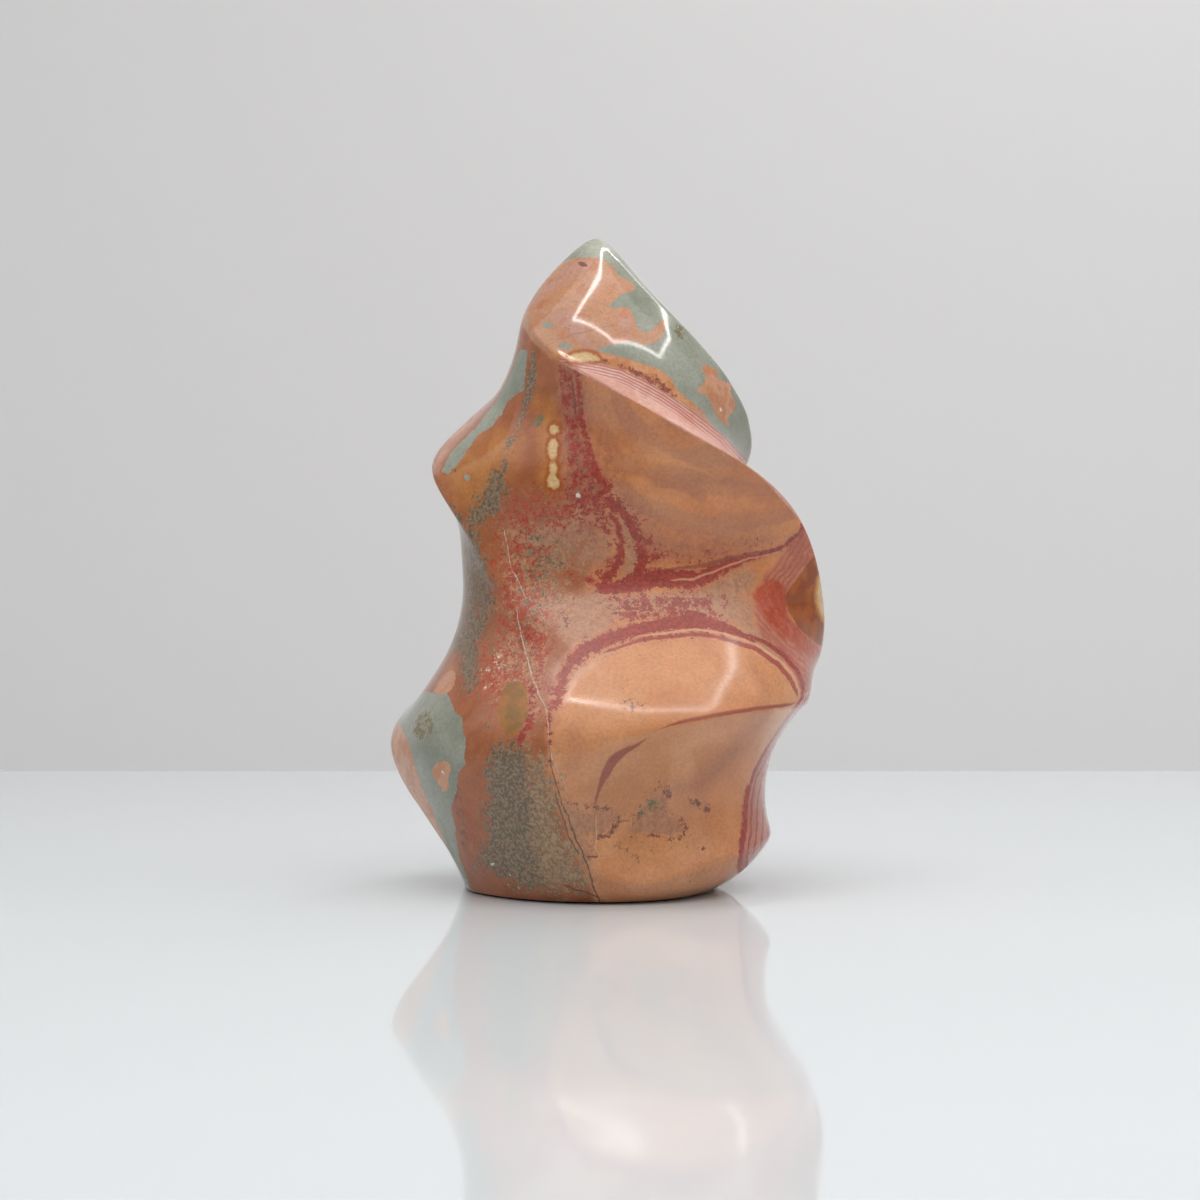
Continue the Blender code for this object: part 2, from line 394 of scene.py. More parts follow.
# Ground colours, in broad zones.
keep_zone("crown", [
    (400, 100), (950, 100), (950, 560), (790, 500), (762, 478), (745, 464), (727, 454), (705, 442), (684, 431),
    (647, 408), (614, 391), (582, 374), (559, 361), (545, 352), (532, 341), (523, 325), (400, 325),
])
keep_zone("nodule", [
    (547, 740), (549, 718), (552, 703), (560, 680), (568, 662), (582, 650), (600, 643), (631, 632), (661, 627),
    (686, 624), (705, 625), (723, 629), (738, 635), (753, 643), (768, 651), (784, 663), (796, 677), (801, 690),
    (800, 700), (785, 720), (766, 750), (752, 776), (746, 801), (746, 827), (741, 870), (735, 960), (604, 960),
    (592, 879), (581, 851), (571, 819), (558, 780), (550, 765),
])
keep_zone("left_ground", [
    (523, 325), (532, 341), (545, 352), (556, 361), (556, 380), (560, 410), (563, 450), (563, 480), (566, 505),
    (585, 520), (600, 540), (585, 580), (590, 610), (580, 640), (565, 655), (552, 690), (545, 720), (545, 770),
    (556, 800), (575, 850), (590, 890), (595, 960), (300, 960), (300, 325),
])

# Sage-green clay stone on the crown, down the left shoulder and on the lower left.
keep_zone(
    "sage",
    [
        (500, 262), (566, 262), (572, 259), (588, 257), (600, 258), (608, 262), (614, 268), (618, 275), (626, 279),
        (633, 282), (636, 289), (630, 292), (622, 294), (616, 299), (610, 305), (612, 309), (622, 307), (630, 309),
        (634, 318), (637, 327), (645, 333), (652, 330), (659, 324), (666, 318), (669, 322), (664, 332), (660, 340),
        (650, 344), (642, 346), (634, 342), (622, 343), (612, 344), (600, 347), (598, 351), (610, 354), (622, 357),
        (634, 361), (645, 365), (656, 368), (666, 374), (672, 380), (676, 388), (684, 397), (694, 403), (702, 410),
        (712, 424), (722, 436), (735, 448), (745, 459), (752, 470), (950, 560), (950, 100), (500, 100),
    ],
    [
        (528, 350), (525, 372), (524, 390), (514, 396), (507, 402), (502, 414), (492, 426), (479, 435), (470, 446),
        (463, 458), (455, 467), (447, 474), (441, 471), (446, 460), (455, 448), (466, 437), (478, 424), (490, 409),
        (500, 395), (508, 379), (515, 362), (520, 350),
    ],
    [
        (420, 691), (432, 693), (440, 694), (447, 690), (451, 700), (455, 712), (462, 716), (463, 728), (466, 740),
        (464, 755), (466, 765), (459, 772), (457, 786), (454, 800), (451, 806), (454, 822), (457, 840), (459, 856),
        (466, 874), (470, 890), (455, 880), (443, 840), (432, 814), (422, 790), (413, 768), (406, 746), (400, 728),
        (392, 712),
    ],
    oval(548, 325, 6, 3), oval(565, 346, 7, 3.5, 5), oval(467, 478, 3, 4),
)

# Orange-brown patches that lie in the sage.
keep_zone(
    "orange_patch",
    [
        (704, 364), (712, 367), (718, 371), (717, 379), (724, 381), (732, 384), (731, 392), (735, 402), (733, 413),
        (727, 418), (729, 426), (723, 423), (716, 415), (711, 404), (708, 395), (700, 394), (697, 389), (703, 384),
        (706, 377), (702, 370),
    ],
    [(435, 764), (443, 760), (449, 762), (452, 770), (448, 777), (449, 788), (444, 793), (440, 787), (434, 778), (432, 770)],
    [(433, 692), (440, 680), (447, 672), (453, 668), (456, 676), (453, 688), (446, 694), (440, 695)],
    [(398, 722), (404, 732), (410, 748), (416, 770), (424, 792), (434, 815), (445, 842), (456, 870), (462, 888),
     (440, 870), (400, 780), (385, 740)],
)

# The pink striped band along the crest, and the rust seam above it.
keep_zone("pink_band", [
    (559, 359), (569, 359), (598, 364), (622, 370), (643, 380), (663, 391), (684, 405), (704, 420), (724, 436),
    (745, 458), (756, 466), (800, 500), (800, 520), (762, 478), (745, 464), (727, 454), (705, 442), (684, 431),
    (647, 408), (614, 391), (582, 374), (559, 361),
])
keep_line("crest_stripes", [
    (540, 357, 0.0), (559, 359, 0.5), (569, 359, 0.8), (598, 364, 1.6), (622, 370, 2.0), (643, 380, 2.1),
    (663, 391, 2.1), (684, 405, 2.0), (704, 420, 1.8), (724, 436, 1.4), (745, 458, 0.9), (800, 500, 0.6),
])
keep_zone("rust_seam", [
    (545, 350), (556, 351), (566, 352), (580, 351), (592, 351), (604, 354), (618, 357), (632, 361), (645, 365),
    (656, 368), (666, 374), (672, 381), (677, 390), (686, 398), (696, 406), (690, 406), (682, 402), (672, 394),
    (660, 387), (648, 380), (636, 376), (622, 370), (610, 366), (598, 363), (585, 362), (570, 360), (556, 358),
])
keep_cover("dark_rust", (0.62, 1.0, [(598, 359, 2), (612, 363, 2), (628, 368, 3), (640, 374, 4), (652, 379, 6),
                                   (662, 386, 5), (670, 392, 3), (678, 398, 1)]))
keep_zone("cream",
          [(568, 357), (575, 354), (586, 353), (595, 355), (600, 360), (592, 362), (580, 361), (570, 360)],
          oval(554, 429, 4.5, 5), oval(553, 449, 5, 10.5), [(551, 464), (556, 463), (557, 470), (555, 474), (559, 480),
          (559, 486), (554, 489), (549, 486), (547, 479), (550, 472)])

keep_line("flute_flow", [
    (575, 340, 1.0), (590, 385, 1.0), (602, 420, 1.0), (625, 450, 1.0), (660, 472, 1.0), (710, 482, 1.0), (760, 480, 1.0),
    (830, 460, 1.0),
])

# The dark red mineral: solid along its seams, and fading out from them in fine specks.
keep_cover(
    "crimson",
    (0.92, 1.4, [(576, 366, 2), (580, 402, 2.5), (584, 434, 3), (592, 459, 3.5), (600, 479, 4), (613, 500, 3.5),
                (628, 520, 4), (638, 540, 4), (642, 560, 5), (640, 574, 6)]),
    (0.56, 3.4, [(576, 366, 1), (580, 402, 2), (586, 434, 3), (594, 459, 5), (604, 479, 6), (618, 500, 7),
                 (634, 520, 8), (646, 545, 10), (654, 562, 12)]),
    (0.88, 1.6, [(560, 366, 1), (565, 400, 3), (568, 440, 1), (582, 455, 1.5), (598, 483, 2), (612, 508, 3.5),
                (619, 532, 4), (622, 552, 5), (616, 567, 5), (602, 585, 5), (588, 580, 3)]),
    (0.50, 4.0, [(557, 362), (576, 368), (582, 405), (590, 450), (604, 485), (618, 510), (622, 540), (612, 560),
                 (600, 540), (585, 520), (565, 508), (561, 470), (560, 430), (556, 392)]),
    (0.56, 4.5, [(575, 492), (600, 490), (615, 512), (612, 530), (590, 528), (568, 520)]),
    (0.52, 2.5, [(590, 584, 5), (606, 570, 8), (622, 556, 8)]),
    (0.98, 1.6, [(604, 590, 4), (620, 586, 8), (640, 582, 9), (657, 578, 9), (692, 579, 9), (707, 576, 7),
                 (722, 568, 6), (733, 563, 5), (747, 559, 3), (768, 553, 2), (784, 547, 2), (798, 537, 2), (806, 524, 2)]),
    (0.47, 4.0, [(640, 548, 5), (660, 556, 9), (700, 556, 9), (735, 549, 6), (770, 542, 3)]),
    (0.57, 4.0, [(590, 590), (640, 590), (690, 588), (712, 594), (720, 612), (735, 622), (700, 622), (660, 622),
                 (630, 628), (612, 620), (606, 604)]),
    (1.0, 1.8, oval(695, 616, 13, 8)),
    (0.5, 2.5, oval(725, 603, 7, 10)),
    (1.0, 0.9, [(548, 745, 1), (549, 720, 1.6), (553, 703, 2), (561, 682, 3), (568, 664, 4), (582, 650, 5),
                (600, 643, 5.5), (616, 636, 5.5), (631, 630, 5.5), (661, 625, 6), (686, 622, 7.5), (705, 623, 6),
                (723, 627, 5), (738, 633, 3.5), (753, 641, 3)]),
    (0.55, 2.8, [(549, 745, 2), (551, 718, 4), (560, 690, 7), (570, 666, 11), (590, 648, 12), (620, 636, 11),
                 (660, 628, 11), (700, 626, 11), (730, 632, 6)]),
    (0.9, 0.8, [(575, 660, 2), (568, 676, 2.5), (562, 692, 2.5), (556, 708, 2)]),
    (0.85, 1.6, [(530, 680, 2), (532, 700, 4), (528, 722, 5), (520, 740, 5)]),
    (0.9, 0.8, [(548, 762, 3), (543, 768, 1)]),
    (0.95, 0.7, [(748, 786, 2), (746, 801, 3), (745, 827, 3), (743, 850, 4), (742, 868, 5)]),
    (0.50, 3.0, [(630, 622), (600, 634), (575, 645), (556, 670), (545, 690), (552, 700), (562, 690), (580, 662), (610, 642)]),
    (0.45, 3.0, [(534, 640, 6), (540, 665, 8), (538, 700, 6)]),
)
keep_cover(
    "brick",
    (0.54, 6.0, [(508, 492), (530, 484), (562, 488), (586, 505), (590, 524), (566, 536), (530, 540), (508, 536), (494, 520)]),
    (0.47, 6.0, [(492, 520), (530, 530), (560, 540), (552, 580), (556, 620), (560, 660), (546, 720), (530, 742),
                 (500, 716), (486, 660), (492, 600), (486, 560)]),
    (0.56, 5.0, [(498, 565), (512, 562), (528, 580), (542, 600), (550, 628), (558, 650), (546, 676), (530, 662),
                 (512, 650), (500, 630), (494, 600)]),
    (0.5, 6.0, [(460, 640), (500, 640), (530, 660), (546, 700), (540, 740), (530, 760), (505, 720), (470, 700)]),
    (0.85, 2.0, [(478, 575, 5), (482, 600, 6), (478, 620, 4)]),
    (0.40, 4.0, [(455, 790), (478, 790), (482, 830), (476, 862), (468, 870), (458, 830)]),
    (0.7, 1.5, oval(502, 776, 4, 4)),
    (0.48, 4.0, [(566, 566, 6), (580, 590, 6), (560, 620, 6)]),
)
# Grey slate speckle on the left, and painted shade: the same dark grey-brown laid thickly down the left flank beside
# the side ridge, where the stone turns away.
keep_cover(
    "slate_and_flank_shade",
    (0.85, 1.8, [(533, 352, 3), (532, 372, 5), (529, 392, 5), (526, 408, 3), (516, 432, 2), (508, 448, 3)]),
    (0.8, 4.0, [(508, 448, 2), (504, 468, 6), (497, 485, 11), (488, 502, 13), (478, 515, 11), (470, 528, 8),
                (476, 545, 6), (482, 565, 5), (486, 590, 4)]),
    (0.7, 3.0, [(449, 500), (460, 512), (472, 527), (483, 550), (490, 570), (495, 590), (496, 612), (484, 640),
                (470, 660), (440, 650), (452, 620), (450, 560)]),
    (1.0, 3.0, [(456, 518, 2), (468, 542, 5), (475, 575, 5), (478, 600, 3)]),
    (0.9, 3.0, [(474, 612, 5), (470, 640, 8), (468, 662, 9), (470, 688, 6)]),
    (0.4, 6.0, [(500, 540), (540, 520), (572, 540), (560, 590), (548, 640), (540, 690), (515, 690), (505, 640)]),
    (0.75, 4.0, [(480, 612, 7), (474, 640, 8), (471, 665, 10), (470, 690, 7)]),
    (0.52, 6.0, [(562, 500, 4), (548, 518, 8), (535, 535, 12), (530, 550, 9), (545, 565, 8)]),
    (0.50, 3.0, [(548, 590, 6), (562, 604, 6), (552, 578, 6)]),
    (0.62, 2.5, oval(486, 722, 7, 7)),
    (0.84, 5.0, [(488, 750), (500, 742), (514, 740), (524, 750), (530, 770), (532, 800), (535, 830), (540, 860),
                 (545, 880), (530, 892), (512, 882), (497, 876), (480, 868), (470, 872), (478, 856), (486, 835),
                 (483, 810), (486, 790), (482, 775), (486, 760)]),
    (0.5, 4.0, oval(520, 668, 20, 8, 0)),
    (0.5, 4.0, oval(490, 655, 8, 14)),
)
keep_cover(
    "olive",
    (1.0, 7.0, [(524, 752), (545, 762), (552, 780), (556, 800), (562, 830), (578, 858), (586, 885), (560, 892),
                (528, 880), (528, 840), (524, 800)]),
    (0.7, 7.0, oval(546, 560, 16, 14)),
)
keep_cover(
    "mauve",
    (1.0, 3.0, [(556, 362), (576, 366), (584, 405), (594, 450), (610, 490), (604, 505), (585, 508), (567, 505),
                (562, 470), (562, 430), (556, 392)]),
    (0.45, 6.0, [(640, 510, 3), (655, 535, 10), (690, 548, 12), (730, 545, 9), (770, 535, 4)]),
    (0.6, 5.0, [(600, 440, 2), (612, 470, 5), (630, 500, 7), (650, 525, 7)]),
    (0.8, 3.0, [(725, 595, 8), (728, 608, 7)]),
)
keep_cover(
    "beige",
    (0.62, 7.0, [(572, 540), (590, 526), (610, 526), (617, 540), (613, 558), (600, 574), (580, 583), (562, 575), (566, 555)]),
    (0.58, 6.0, [(498, 520), (560, 510), (585, 500), (600, 530), (570, 580), (556, 640), (545, 720), (530, 750),
                 (500, 730), (480, 680), (500, 620)]),
    (0.95, 3.0, [(552, 602), (572, 594), (596, 590), (612, 598), (618, 612), (608, 630), (590, 636), (568, 642), (555, 630)]),
    (0.9, 3.0, [(612, 490, 3), (626, 515, 5), (632, 536, 6), (632, 560, 7), (628, 575, 4)]),
    (0.95, 4.0, [(606, 598), (660, 596), (710, 590), (750, 598), (752, 620), (780, 645), (800, 668), (790, 670),
                (760, 650), (735, 622), (690, 612), (640, 618), (610, 616)]),
    (0.9, 3.0, [(705, 590), (722, 578), (745, 568), (758, 574), (752, 590), (738, 598), (720, 600)]),
    (0.85, 3.0, [(560, 790), (572, 806), (590, 812), (600, 808), (614, 812), (612, 826), (600, 834), (586, 838),
                 (596, 850), (590, 862), (580, 866), (566, 830), (556, 800)]),
    (0.95, 1.6, [(631, 832), (640, 812), (648, 800), (660, 790), (666, 798), (668, 815), (680, 822), (684, 832),
                 (672, 836), (650, 832)]),
    (0.6, 2.5, oval(700, 805, 6, 6)),
    (0.62, 4.0, [(540, 835, 6), (548, 860, 12), (555, 880, 8)]),
)
keep_cover(
    "moss",
    (0.6, 1.5, oval(680, 333, 7, 8)),
    (0.55, 1.5, oval(424, 726, 13, 17, 20)),
    (0.95, 1.0, oval(539, 421, 4, 7, 30)),
    (0.6, 3.0, [(640, 815, 3), (650, 806, 6), (660, 800, 4)]),
    (0.7, 3.0, [(512, 884, 3), (545, 886, 3)]),
    (0.35, 6.0, [(480, 830, 10), (470, 800, 8)]),
)
keep_cover(
    "plum",
    (0.53, 1.2, [(560, 800, 3), (580, 808, 3), (598, 806, 4), (612, 812, 4), (620, 822, 4), (606, 836, 4), (590, 840, 3)]),
    (0.52, 1.2, [(628, 836, 3), (634, 820, 3), (646, 800, 3), (658, 786, 4), (668, 792, 3), (672, 812, 3), (684, 822, 3),
                 (688, 834, 4), (672, 840, 3), (650, 836, 3), (630, 834, 3)]),
    (0.53, 1.2, [(612, 844, 3), (624, 850, 4), (640, 860, 4)]),
    (0.52, 1.2, [(690, 800, 5), (708, 808, 5)]),
    (0.9, 0.5, oval(704, 849, 2.6, 2.6)), (0.8, 0.5, oval(677, 786, 3, 1.2)), (0.9, 0.5, oval(582, 264, 6, 2, 25)),
    (0.7, 0.5, oval(593, 857, 6, 2)), (0.8, 0.6, oval(566, 622, 3.2, 6)), (0.6, 0.5, oval(502, 320, 2, 1.5)),
    (0.8, 0.5, oval(455, 471, 2.5, 2.5)), (0.6, 0.5, oval(641, 913, 2, 2)),
    (0.5, 1.0, [(640, 840, 2), (668, 850, 2), (680, 838, 2)]),
    (0.5, 1.5, [(455, 790, 3), (462, 820, 4), (464, 850, 4)]),
    (0.9, 0.4, oval(660, 598, 1.6, 1.2)), (0.4, 2.0, oval(632, 705, 22, 9)), (0.7, 0.4, oval(648, 732, 3, 0.8, 30)),
    (0.7, 0.4, oval(672, 722, 3, 0.8, 20)),
)

# The ochre spot on the lower left, the eye on the right and the red wedge that points at it.
keep_zone("ochre_spot", [(501, 695), (508, 683), (520, 681), (528, 690), (528, 712), (521, 731), (511, 738), (500, 730), (497, 712)])
keep_zone("eye", [
    (817, 552), (806, 566), (793, 583), (786, 595), (786, 603), (790, 615), (800, 629), (812, 640), (826, 650),
    (860, 655), (860, 545),
])
keep_zone("eye_core", [
    (822, 570), (817, 580), (815, 592), (816, 604), (819, 614), (824, 622), (860, 626), (860, 566),
])
keep_zone("red_wedge", [
    (750, 594), (762, 582), (776, 579), (784, 590), (786, 602), (790, 616), (800, 630), (812, 642), (824, 652),
    (850, 668), (818, 668), (800, 648), (782, 636), (768, 622), (758, 608),
])
keep_zone("chevrons", [
    (752, 596), (762, 578), (776, 562), (790, 548), (806, 524), (830, 500), (850, 560), (818, 552), (806, 566),
    (793, 583), (786, 598), (790, 616), (812, 641), (826, 652), (850, 660), (820, 690), (801, 697), (795, 672),
    (782, 655), (765, 640), (755, 620),
])
keep_line("chevron_lines", [
    (840, 478, 1.0), (806, 540, 1.0), (786, 575, 1.0), (760, 600, 1.0), (784, 632, 1.0), (812, 655, 1.0), (850, 690, 1.0),
])
keep_zone("right_flank", [
    (801, 697), (785, 720), (766, 750), (752, 776), (747, 801), (747, 827), (741, 870), (735, 940), (900, 940),
    (900, 700), (830, 680),
])
keep_line("flank_lines", [
    (830, 660, 1.0), (801, 699, 1.0), (785, 720, 1.0), (766, 750, 1.0), (752, 776, 1.0), (747, 801, 1.0), (747, 827, 1.0),
    (741, 870, 1.0), (735, 940, 1.0),
])

# Thin seams.
keep_line("branch_light", [
    (662, 582, -0.3), (673, 580, 0.14), (693, 579, 0.22), (716, 571, 0.20), (732, 564, 0.2), (747, 559, 0.18),
    (765, 556, 0.12), (784, 550, 0.08), (799, 538, -0.3),
])
keep_line("branch_dark", [
    (640, 572, -0.4), (660, 571, 0.2), (686, 568, 0.35), (707, 565, 0.38), (726, 559, 0.4), (741, 555, 0.4),
    (768, 552, 0.3), (784, 546, 0.25), (798, 535, 0.25), (805, 522, 0.2), (815, 500, -0.3),
])
keep_line("arc_light", [
    (612, 642, -0.4), (640, 636, 0.12), (666, 633, 0.2), (695, 629, 0.24), (716, 632, 0.24), (738, 638, 0.24),
    (761, 647, 0.24), (781, 662, 0.22), (793, 675, 0.2), (799, 690, 0.15), (800, 704, -0.3),
])
keep_line("arc_lower", [
    (585, 662, -0.5), (610, 650, 0.25), (640, 640, 0.3), (666, 637, 0.32), (695, 634, 0.34), (716, 637, 0.34),
    (738, 643, 0.36), (758, 650, 0.38), (776, 663, 0.42), (789, 677, 0.42), (796, 690, 0.36), (799, 702, -0.2),
])
keep_line("arc_upper", [
    (735, 630, -0.3), (753, 637, 0.35), (768, 644, 0.4), (784, 656, 0.42), (797, 670, 0.42), (803, 684, 0.36),
    (802, 698, 0.25), (786, 720, 0.2), (767, 748, 0.22), (754, 772, 0.3), (748, 795, 0.2), (747, 815, -0.3),
])
keep_line("ridge_tint", [
    (806, 700, -0.3), (787, 705, 0.3), (760, 708, 0.36), (739, 711, 0.38), (710, 716, 0.34), (680, 722, 0.3), (662, 728, 0.0),
    (650, 736, -0.1), (639, 744, 0.3), (625, 751, 0.6), (614, 759, 0.9), (606, 772, 0.8), (600, 786, 0.35), (596, 800, 0.2),
    (594, 815, -0.3),
])
keep_line("vein_left", [
    (498, 515, -0.3), (504, 530, 0.07), (508, 548, 0.08), (511, 568, 0.09), (519, 582, 0.09), (525, 598, 0.08), (527, 606, -0.3),
])
keep_line("vein_right", [
    (514, 596, -0.3), (516, 608, 0.09), (521, 634, 0.10), (527, 655, 0.12), (533, 678, 0.13), (541, 698, 0.11), (547, 712, 0.10),
    (548, 735, 0.08), (549, 750, 0.08), (555, 765, 0.09), (562, 778, 0.09), (568, 794, 0.05), (570, 800, -0.3),
])
keep_line("crack_long", [
    (547, 712, -0.3), (548, 740, 0.06), (551, 764, 0.10), (556, 786, 0.10), (563, 805, 0.10), (571, 825, 0.12), (580, 848, 0.13),
    (588, 866, 0.12), (593, 884, 0.14), (599, 900, 0.14),
])
keep_line("crack_short", [
    (552, 776, -0.3), (555, 795, 0.09), (562, 815, 0.10), (570, 838, 0.10), (577, 852, 0.09), (583, 862, -0.2),
])
keep_line("crown_hair", [
    (628, 318, -0.2), (612, 325, 0.10), (592, 330, 0.12), (575, 334, 0.12), (558, 339, 0.08), (550, 342, -0.2),
])
keep_line("purple_thread", [(570, 368, -0.2), (572, 382, 0.14), (575, 398, 0.16), (576, 412, 0.14), (577, 424, -0.2)])
keep_line("pale_thread", [(598, 806, -0.2), (596, 820, 0.12), (597, 835, 0.14), (595, 848, 0.12), (593, 858, -0.2)])
keep_line("crack_base", [(558, 880, -0.2), (566, 886, 0.14), (580, 890, 0.15), (597, 897, 0.1), (604, 900, -0.2)])
# Painted shade: a darker brown laid where the stone turns down, under the long ridge and in the flute below it, under
# the hollow's rim and low by the base.
keep_cover(
    "painted_shade",
    (0.55, 7.0, [(598, 392, 4), (605, 410, 8), (616, 428, 8), (634, 445, 3)]),
    (0.50, 5.0, [(640, 470, 2), (659, 480, 8), (690, 484, 8), (720, 476, 6), (745, 482, 10), (765, 488, 8)]),
    (0.30, 5.0, [(700, 520, 3), (740, 528, 6), (790, 515, 6)]),
    (0.75, 4.0, [(678, 790, 2), (700, 785, 8), (722, 765, 9), (742, 740, 6), (765, 718, 3)]),
    (0.45, 5.0, [(680, 800, 8), (700, 830, 10), (700, 870, 8)]),
    (0.45, 4.0, [(572, 735, 6), (580, 755, 7), (568, 770, 4)]),
    (0.45, 3.0, [(755, 670, 2), (764, 690, 3), (762, 705, 2)]),
    (0.35, 6.0, [(600, 880, 6), (650, 892, 6), (700, 893, 6)]),
)
keep_cover(
    "pale",
    (0.6, 5.0, [(620, 462, 3), (650, 455, 6), (685, 456, 6), (720, 462, 3)]),
    (0.5, 4.0, [(610, 485, 3), (650, 505, 5), (690, 522, 4), (730, 532, 3)]),
    (0.5, 6.0, [(600, 700, 6), (640, 715, 8), (600, 730, 6)]),
    (0.5, 6.0, [(630, 740, 4), (680, 735, 6), (740, 728, 5)]),
    (0.7, 8.0, [(600, 850, 6), (650, 855, 12), (700, 850, 10)]),
    (0.6, 8.0, [(640, 885, 6), (700, 888, 6)]),
    (0.9, 3.5, oval(598, 248, 17, 12)),
)
keep_cover("chalk", (1.0, 0.4, oval(721, 410, 1.6, 1.3)), (1.0, 0.4, oval(443, 773, 1.8, 1.8)),
           (1.0, 0.5, oval(578, 496, 2.6, 2.2)), (1.0, 0.4, oval(498, 843, 1.8, 1.4)), (0.9, 0.4, oval(492, 864, 2.2, 1.4)),
           (0.3, 4.0, [(482, 645), (505, 650), (512, 680), (490, 690), (478, 670)]),
           (0.3, 4.0, oval(520, 880, 20, 10)))
keep_cover("dull_polish", (1.0, 6.0, [(590, 640), (640, 622), (740, 622), (790, 660), (770, 700), (690, 735), (590, 740)]))
keep_cover("pink_skin", (1.0, 1.4, [(516, 335), (513, 352), (507, 372), (497, 392), (484, 410), (469, 428), (455, 443), (444, 460),
                                    (438, 474), (420, 470), (430, 430), (480, 370), (500, 330)]))
keep_cover("ochre", (0.9, 5.0, [(440, 476), (470, 445), (500, 430), (520, 440), (505, 470), (488, 495), (476, 515), (460, 505)]),
           (0.9, 2.5, [(536, 400, 4), (548, 405, 8), (550, 440, 10), (548, 475, 9), (550, 492, 5)]),
           (0.7, 2.0, [(452, 668, 4), (442, 684, 4)]))

# The polished stone's material.
# Each zone's edge is frayed with fine noise, each mineral has two tones, and the fine speckle comes from
# noise that is cut at the mineral's cover. Seams and cracks are drawn last, and the cracks are slightly open.

polish = bpy.data.materials.new("polished_polychrome_jasper")
polish.use_nodes = True
tree = polish.node_tree
polish_shader = tree.nodes["Principled BSDF"]


def linear(red, green, blue):
    """A colour of 0 to 255 per channel, as Blender's linear colour."""
    channels = [value / 255 for value in (red, green, blue)]
    return tuple(c / 12.92 if c <= 0.04045 else ((c + 0.055) / 1.055) ** 2.4 for c in channels) + (1.0,)


def plug(socket, value):
    """Links a socket to an input, or sets the input to a number or colour."""
    if isinstance(value, bpy.types.NodeSocket):
        tree.links.new(value, socket)
    else:
        socket.default_value = value


def number(operation, a, b=0.0, clamp=False):
    """One Math node."""
    node = tree.nodes.new("ShaderNodeMath")
    node.operation = operation
    node.use_clamp = clamp
    plug(node.inputs[0], a)
    plug(node.inputs[1], b)
    return node.outputs[0]


def ramp(value, low, high, to_low=0.0, to_high=1.0):
    """A smooth step from to_low at low to to_high at high."""
    node = tree.nodes.new("ShaderNodeMapRange")
    node.interpolation_type = "SMOOTHSTEP"
    plug(node.inputs["Value"], value)
    plug(node.inputs["From Min"], low)
    plug(node.inputs["From Max"], high)
    plug(node.inputs["To Min"], to_low)
    plug(node.inputs["To Max"], to_high)
    return node.outputs["Result"]


def paint(under, over, share):
    """over laid on under, where share is 1."""
    node = tree.nodes.new("ShaderNodeMix")
    node.data_type = "RGBA"
    plug(node.inputs[0], share)
    plug(node.inputs[6], under)
    plug(node.inputs[7], over)
    return node.outputs[2]


def kept(name):
    """A number kept on the mesh."""
    node = tree.nodes.new("ShaderNodeAttribute")
    node.attribute_name = name
    return node.outputs["Fac"]


def noise_field(per_metre, detail, roughness=0.5, distortion=0.0, stretch=(1, 1, 1)):
    """Noise in the stone's own coordinates, as a number and as three numbers."""
    scale = tree.nodes.new("ShaderNodeMapping")
    scale.inputs["Scale"].default_value = stretch
    tree.links.new(place, scale.inputs["Vector"])
    node = tree.nodes.new("ShaderNodeTexNoise")
    node.inputs["Scale"].default_value = per_metre
    node.inputs["Detail"].default_value = detail
    node.inputs["Roughness"].default_value = roughness
    node.inputs["Distortion"].default_value = distortion
    tree.links.new(scale.outputs["Vector"], node.inputs["Vector"])
    parts = tree.nodes.new("ShaderNodeSeparateColor")
    tree.links.new(node.outputs["Color"], parts.inputs["Color"])
    return node.outputs["Fac"], parts.outputs[0], parts.outputs[1], parts.outputs[2]


place = tree.nodes.new("ShaderNodeTexCoord").outputs["Object"]
cloud, cloud_b, cloud_c, _ = noise_field(70, 3, 0.5, 0.8)
blotch, blotch_b, blotch_c, _ = noise_field(330, 3)
speck, speck_b, speck_c, speck_d = noise_field(1700, 2, 0.6)
rubble, rubble_b, rubble_c, rubble_d = noise_field(700, 4, 0.9)
grain, grain_b, grain_c, _ = noise_field(3200, 1)


def tones(first, second, by, low=0.40, high=0.60):
    """A mineral's two tones, spread by a noise."""
    return paint(linear(*first), linear(*second), ramp(by, low, high))


def frayed(name, edge=0.10, fray=1.0, fine=0.5):
    """The share of a crisp zone, with its edge frayed by fray and fine millimetres of noise."""
    shifted = number("ADD", kept(name), number("MULTIPLY", number("SUBTRACT", blotch_b, 0.5), fray * 2))
    shifted = number("ADD", shifted, number("MULTIPLY", number("SUBTRACT", speck_b, 0.5), fine * 2))
    return ramp(shifted, -edge, edge)


def speckled(name, by, contrast=0.42, edge=0.02):
    """The share of a speckled mineral: the noise cut at its cover."""
    level = number("ADD", by, number("MULTIPLY", number("SUBTRACT", kept(name), 0.5), contrast))
    return ramp(level, 0.5 - edge, 0.5 + edge)


def seam(name, edge=0.06, waver=0.5):
    """The share of a thin line."""
    shift = number("MULTIPLY", number("SUBTRACT", blotch_c, 0.5), waver * 2)
    fine_shift = number("MULTIPLY", number("SUBTRACT", speck_c, 0.5), waver)
    off = number("ABSOLUTE", number("ADD", number("ADD", kept(name + "_off"), shift), fine_shift))
    return ramp(number("SUBTRACT", kept(name + "_width"), off), -edge, edge)


def stripes(name, per_mm, thin, waver, by):
    """Stripes that run along a line: per_mm of them a millimetre, each as thin as thin says."""
    off = number("ADD", kept(name + "_off"), number("MULTIPLY", number("SUBTRACT", by, 0.5), waver))
    wave = number("SINE", number("MULTIPLY", off, 2 * math.pi * per_mm))
    return ramp(wave, thin, min(thin + 0.8, 1.0))


fine_mix, fine_mix_b, fine_mix_c = rubble_b, rubble_c, rubble_d

